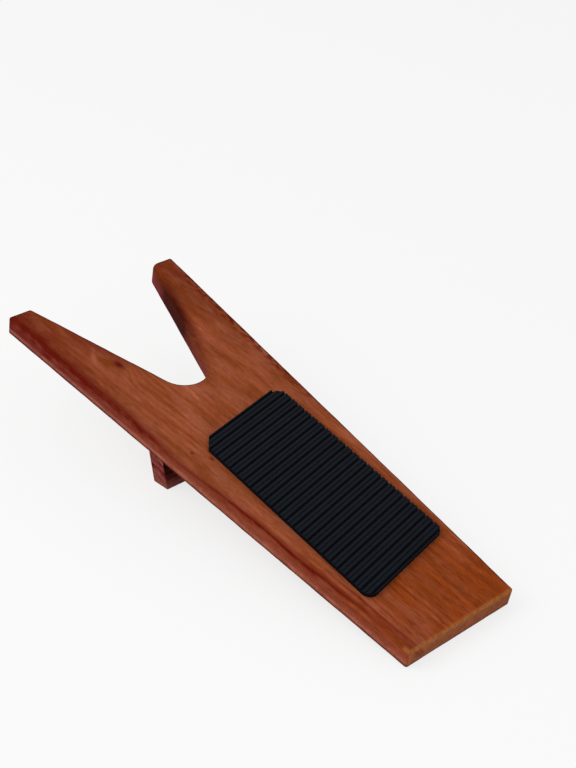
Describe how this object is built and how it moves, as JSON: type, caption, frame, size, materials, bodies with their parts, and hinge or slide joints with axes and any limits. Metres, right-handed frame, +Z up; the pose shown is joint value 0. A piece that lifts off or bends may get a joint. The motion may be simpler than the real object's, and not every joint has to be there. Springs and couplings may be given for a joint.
{
  "type": "boot jack",
  "caption": "Wooden boot jack: a tapered board with a V notch for the heel, raised on a riser block, with a ribbed rubber tread pad to stand on.",
  "frame": {"origin": "on the floor, under the centre of the whole jack's bounding box", "axes": "+X along the board towards its tail, so the heel notch opens towards -X; +Y to the right of someone at the tail who faces the notch; +Z up from the floor"},
  "size_m": [0.3274, 0.124, 0.0639],
  "materials": {
    "board_wood": "reddish-brown stain under satin varnish",
    "riser_wood": "darker stain under satin varnish, end grain at the sides",
    "pad_rubber": "matt moulded rubber with fine ribs",
    "adhesive_film": "matt",
    "screw_steel": "zinc plated"
  },
  "bodies": {
    "root": {"board": "board_wood", "riser_block": "riser_wood", "tread_pad": "pad_rubber", "pad_adhesive": "adhesive_film", "left_screw": "screw_steel", "right_screw": "screw_steel"}
  },
  "joints": []
}
